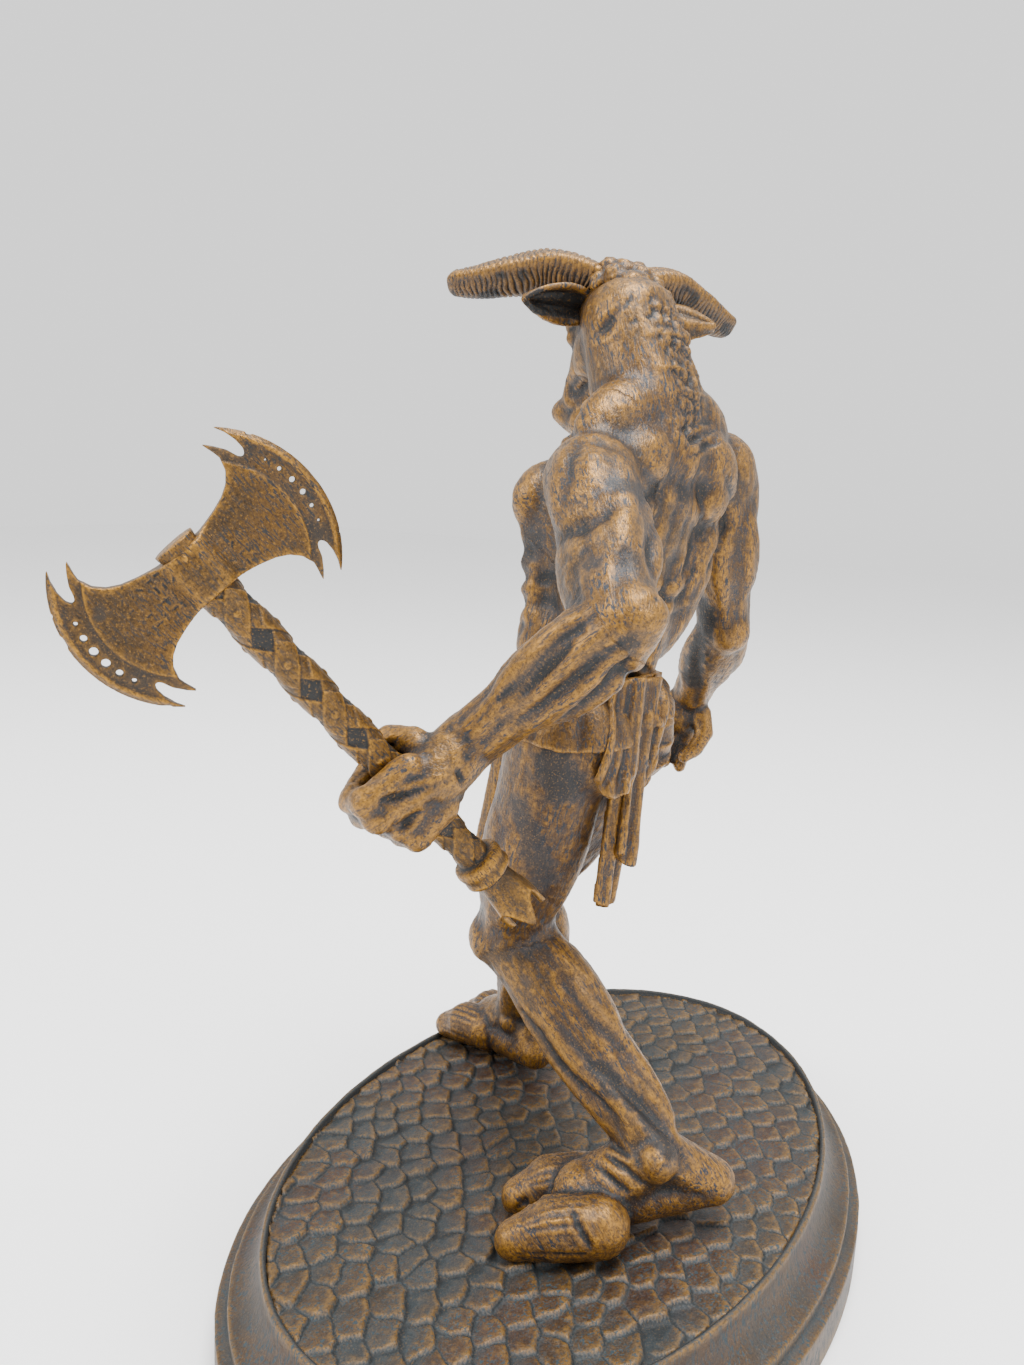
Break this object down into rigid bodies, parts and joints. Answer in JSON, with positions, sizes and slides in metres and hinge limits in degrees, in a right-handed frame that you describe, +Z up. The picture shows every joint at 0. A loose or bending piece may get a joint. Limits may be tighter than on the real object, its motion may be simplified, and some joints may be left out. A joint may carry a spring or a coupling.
{
  "type": "minotaur statuette",
  "caption": "Bronze-painted minotaur statuette striding on an oval cobbled plinth, with a double-bladed axe in its fist.",
  "frame": {"origin": "middle of the plinth's flat underside", "axes": "+Z up, +X along the plinth's length towards the figure's left, -Y the way the figure faces"},
  "size_m": [0.2667, 0.174, 0.2988],
  "materials": {
    "bronze_paint": "cast resin painted bronze with a dark blue-green wash",
    "gilt_bronze_paint": "cast resin painted in a yellower bronze",
    "brown_stone_paint": "cast resin painted brown with blue-grey joints"
  },
  "bodies": {
    "root": {"minotaur": "bronze_paint", "battle_axe": "gilt_bronze_paint", "plinth": "brown_stone_paint"}
  },
  "joints": []
}
